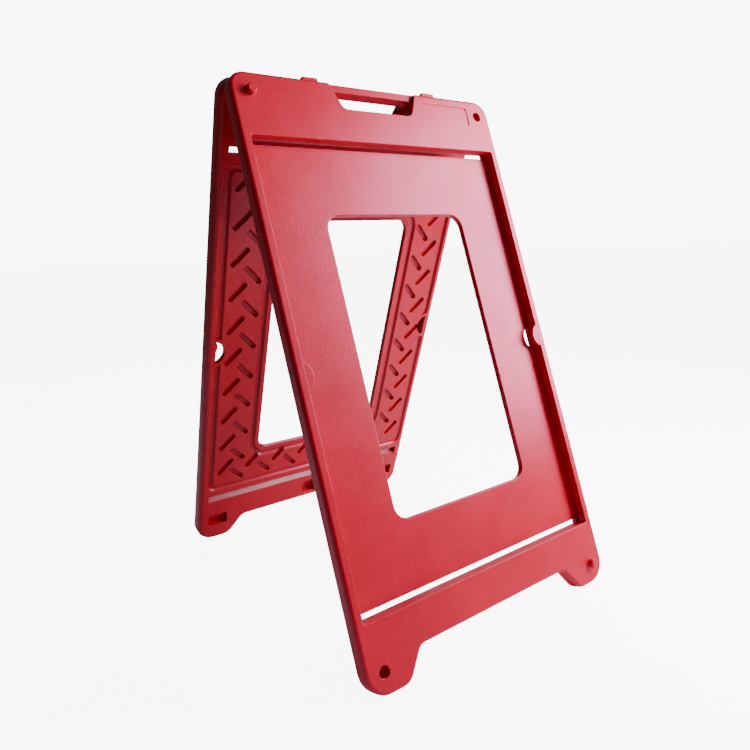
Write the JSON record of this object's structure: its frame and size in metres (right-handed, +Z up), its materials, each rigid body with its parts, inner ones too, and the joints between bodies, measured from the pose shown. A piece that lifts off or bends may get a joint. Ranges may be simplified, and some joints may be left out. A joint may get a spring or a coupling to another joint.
{
  "type": "folding a-frame sign barricade",
  "caption": "Folding A-frame sign barricade: two hinged moulded plastic panels with a windowed sign recess, hand hole and feet.",
  "frame": {"origin": "on the ground at the middle of the open stand, below the hinge axis", "axes": "+Z up, +X along the hinge axis, -Y towards the front panel's feet"},
  "size_m": [0.66, 0.8216, 1.0891],
  "materials": {
    "front_plastic": "satin red polyethylene with a fine moulded texture",
    "rear_plastic": "satin red polyethylene with a fine moulded texture",
    "pin_steel": "plain drawn steel"
  },
  "bodies": {
    "front": {"front_panel": "front_plastic", "hinge_pin_left": "pin_steel", "hinge_pin_right": "pin_steel"},
    "rear": {"rear_panel": "rear_plastic"}
  },
  "joints": [
    {"name": "fold", "type": "hinge", "parent": "front", "child": "rear", "pos_m": [0, 0, 1.05501], "axis": [-1, 0, 0], "range_deg": [0, 39.2]}
  ]
}
